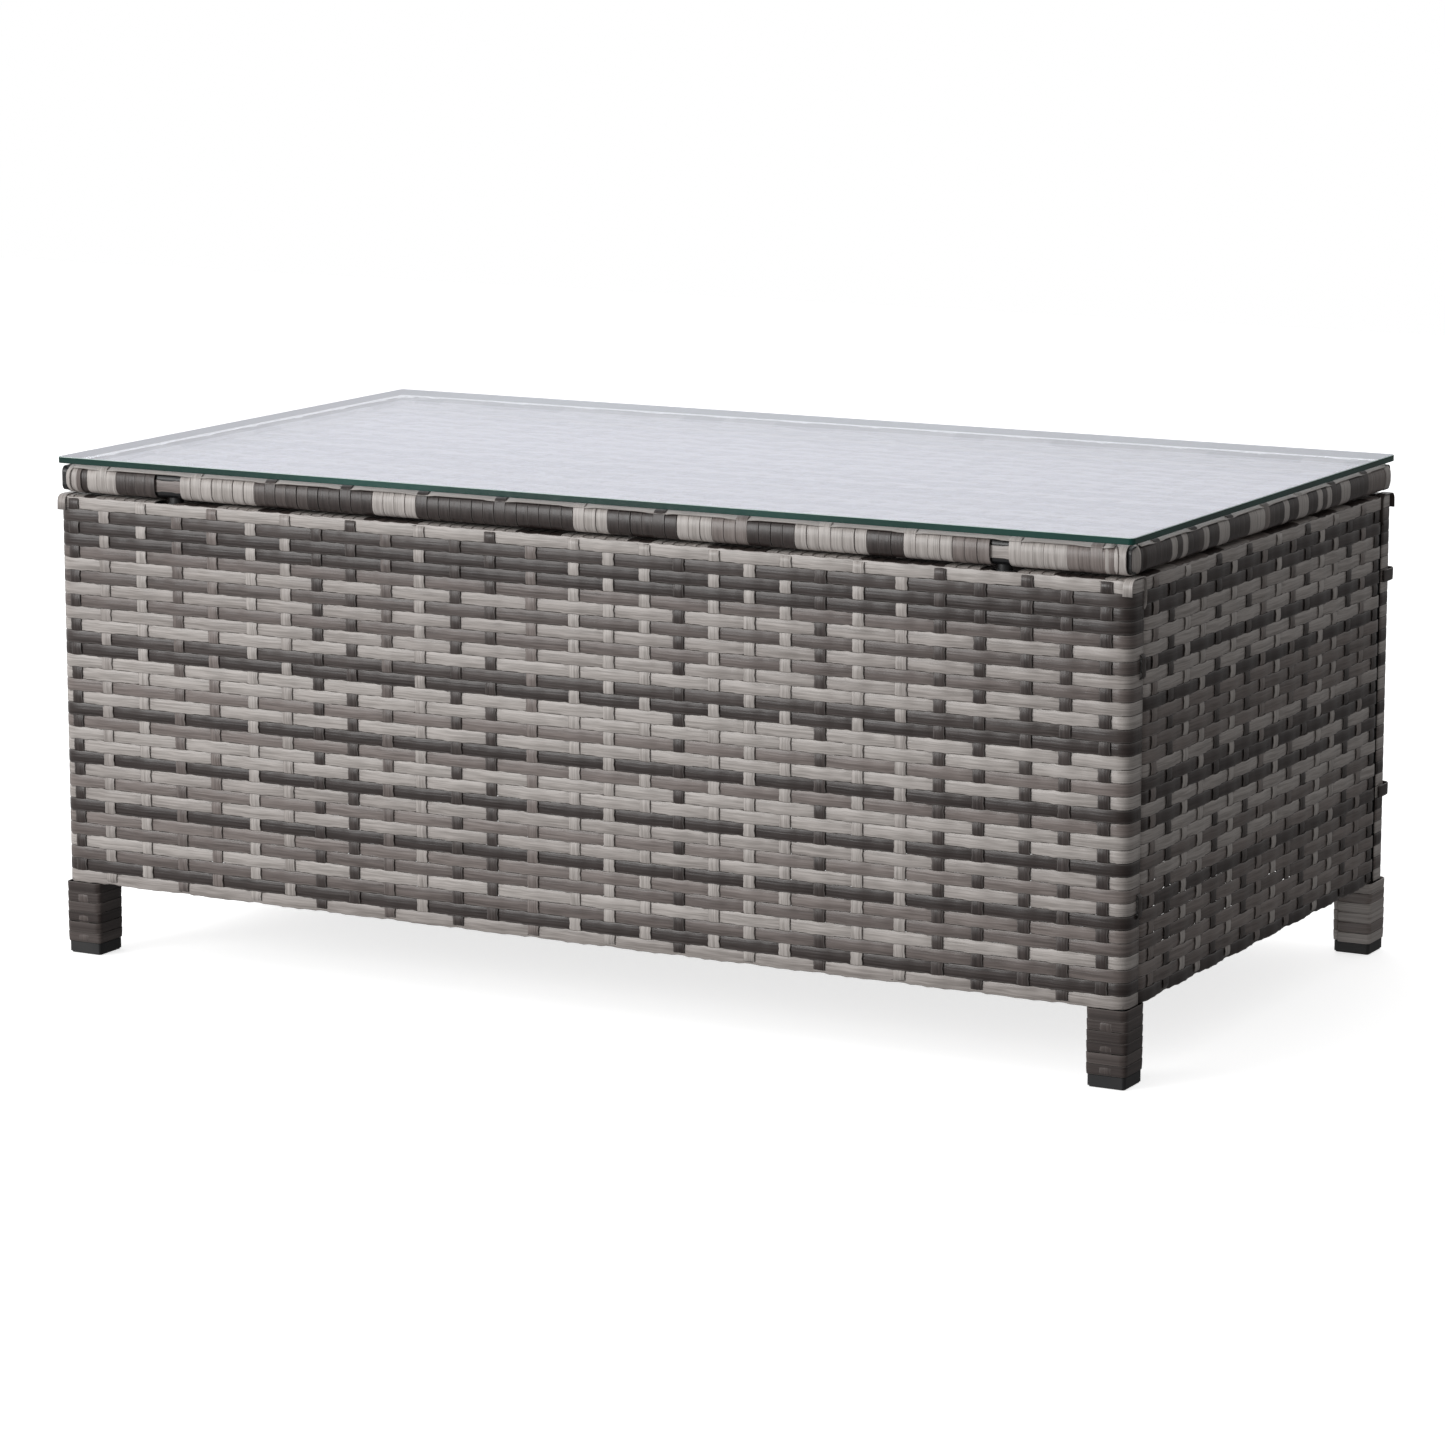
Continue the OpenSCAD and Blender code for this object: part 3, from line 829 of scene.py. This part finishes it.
def outline(lo, hi, inset, radius, height, steps):
    # a rectangle with round corners, anticlockwise
    points = []
    radius = max(radius - inset, 0.4 * mm)
    corners = ((hi[0], hi[1]), (lo[0], hi[1]), (lo[0], lo[1]), (hi[0], lo[1]))
    for turn, (cornerX, cornerY) in enumerate(corners):
        signX = 1 if cornerX > 0 else -1
        signY = 1 if cornerY > 0 else -1
        for step in range(steps + 1):
            angle = (turn + step / steps) * math.pi / 2
            x = cornerX - signX * (inset + radius) + radius * math.cos(angle)
            y = cornerY - signY * (inset + radius) + radius * math.sin(angle)
            points.append((x, y, height))
    return points


def glassPlate():
    lo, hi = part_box("glass_top")
    facts = plateFacts
    arris = facts["arris"] * mm
    corner = facts["corner"] * mm
    levels = ((arris, lo[2]), (0.0, lo[2] + arris), (0.0, hi[2] - arris), (arris, hi[2]))
    made = bmesh.new()
    rings = []
    for inset, height in levels:
        points = outline(lo, hi, inset, corner, height, facts["steps"])
        rings.append([made.verts.new(point) for point in points])
    # the top arris takes the painted highlight; the lower arris and the upright edge take the green
    for level, finish in ((0, 1), (1, 1), (2, 2)):
        lower, upper = rings[level], rings[level + 1]
        for i in range(len(lower)):
            j = (i + 1) % len(lower)
            face = made.faces.new((lower[i], lower[j], upper[j], upper[i]))
            face.material_index = finish
    made.faces.new(rings[3])
    made.faces.new(rings[0][::-1])
    mesh = bpy.data.meshes.new("glassPlate")
    made.to_mesh(mesh)
    made.free()
    for finish in (faceFinish, edgeFinish, arrisHighlightFinish):
        mesh.materials.append(finish)
    addPiece("glassPlate", mesh, "glass", ("glass_top",))


glassPlate()
print("glass made")

# the tubes that the weave bends over have the round edges of drawn tube
tubeFacts = {"radius": 4.6, "wall": 1.2, "steps": 6}


def roundTube(name, node):
    lo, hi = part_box(node)
    facts = tubeFacts
    run = max(range(3), key=lambda axis: hi[axis] - lo[axis])
    side, rise = [axis for axis in range(3) if axis != run]
    middle = [(lo[axis] + hi[axis]) / 2 for axis in range(3)]
    low = (lo[side] - middle[side], lo[rise] - middle[rise])
    high = (hi[side] - middle[side], hi[rise] - middle[rise])
    made = bmesh.new()
    rings = []
    wall = facts["wall"]
    for inset, reach in ((0.0, lo[run]), (0.0, hi[run]), (wall, hi[run]), (wall, lo[run])):
        ring = []
        for across, up, end in outline(low, high, inset * mm, facts["radius"] * mm, reach, facts["steps"]):
            place = [0.0, 0.0, 0.0]
            place[run] = end
            place[side] = across + middle[side]
            place[rise] = up + middle[rise]
            ring.append(made.verts.new(place))
        rings.append(ring)
    for level in range(4):
        first, second = rings[level], rings[(level + 1) % 4]
        for i in range(len(first)):
            j = (i + 1) % len(first)
            made.faces.new((first[i], first[j], second[j], second[i]))
    bmesh.ops.recalc_face_normals(made, faces=made.faces)
    mesh = bpy.data.meshes.new(name)
    made.to_mesh(mesh)
    made.free()
    mesh.materials.append(slotFinish["frame_steel"])
    addPiece(name, mesh, "table", (node,))


for panel in ("front", "back"):
    for end in ("left", "right"):
        roundTube(panel + end.title() + "Tube", panel + "_" + end + "_post")
for sideName in ringRuns:
    roundTube(sideName + "RingTube", "ring_rail_" + sideName)
print("tubes made")

studioFacts = {
    "bright": 1.03,          # the room on the left
    "dim": 0.33,             # and on the right
    "keyPlace": (-1.35, -2.6, 0.9),
    "keySize": 1.7,
    "keyPower": 34.5,
    "floorSize": 9.0,
    "floorGlow": 0.72,
    "floorGap": 0.4,         # the foot caps stand this far above the floor
}


def studio():
    facts = studioFacts
    scene = bpy.context.scene
    world = bpy.data.worlds.new("studio")
    scene.world = world
    world.use_nodes = True
    world.node_tree.nodes.clear()
    wire = Wire(world.node_tree)
    heading = wire.node("ShaderNodeTexCoord", {}, {}, "Generated")
    toCamera = wire.node("ShaderNodeLightPath", {}, {}, "Is Camera Ray")
    leftward = (heading.part(0) * -1.0).ease(-0.25, 0.50)
    upward = heading.part(2).ease(-0.20, 0.05)
    glow = (facts["dim"] + leftward * (facts["bright"] - facts["dim"])) * (0.35 + upward * 0.65)
    strength = glow * (1.0 - toCamera) + toCamera
    backdrop = wire.node("ShaderNodeBackground", {}, {"Color": (1, 1, 1, 1), "Strength": strength})
    wire.node("ShaderNodeOutputWorld", {}, {"Surface": backdrop})
    key = bpy.data.lights.new("keyLight", "AREA")
    key.shape = "DISK"
    key.size = facts["keySize"]
    key.energy = facts["keyPower"]
    lamp = bpy.data.objects.new("keyLight", key)
    lamp.location = facts["keyPlace"]
    lamp.rotation_euler = (Vector((0, 0, 0.2)) - lamp.location).to_track_quat("-Z", "Y").to_euler()
    scene.collection.objects.link(lamp)

    made = bmesh.new()
    bmesh.ops.create_grid(made, x_segments=6, y_segments=6, size=facts["floorSize"] / 2)
    mesh = bpy.data.meshes.new("floor")
    made.to_mesh(mesh)
    made.free()
    floor = bpy.data.objects.new("floor", mesh)
    scene.collection.objects.link(floor)
    material, wire = newMaterial("paleFloor")
    where = wire.node("ShaderNodeTexCoord", {}, {}, "Object")
    cloud = wire.noise(where, 1.4, 2.0)
    base = wire.blend(cloud, (0.90, 0.90, 0.90, 1), (0.94, 0.94, 0.94, 1))
    inputs = {"Base Color": base, "Roughness": 0.85, "Emission Color": (1, 1, 1, 1),
              "Emission Strength": facts["floorGlow"]}
    pale = wire.node("ShaderNodeBsdfPrincipled", {}, inputs)
    # clear from below, so that the underside of the table can be looked at
    below = wire.node("ShaderNodeNewGeometry", {}, {}, "Backfacing")
    clear = wire.node("ShaderNodeBsdfTransparent")
    closeMaterial(wire, wire.node("ShaderNodeMixShader", {}, {0: below, 1: pale, 2: clear}))
    mesh.materials.append(material)
    floor.location.z = -facts["floorGap"] * mm
    floor.visible_diffuse = False
    floor.visible_glossy = False
    scene.view_settings.view_transform = "Standard"


cameraFacts = {"place": (1.80566, -3.35537, 0.89271), "yaw": -28.34, "pitch": -10.58, "lens": 124.36}


def camera():
    scene = bpy.context.scene
    lens = bpy.data.cameras.new("camera")
    lens.lens = cameraFacts["lens"]
    lens.sensor_width = 36.0
    lens.clip_end = 60.0
    eye = bpy.data.objects.new("camera", lens)
    eye.location = cameraFacts["place"]
    yaw = math.radians(cameraFacts["yaw"])
    pitch = math.radians(cameraFacts["pitch"])
    ahead = Vector((math.sin(yaw) * math.cos(pitch), math.cos(yaw) * math.cos(pitch), math.sin(pitch)))
    eye.rotation_euler = ahead.to_track_quat("-Z", "Y").to_euler()
    scene.collection.objects.link(eye)
    scene.camera = eye


studio()
camera()
print("studio set")
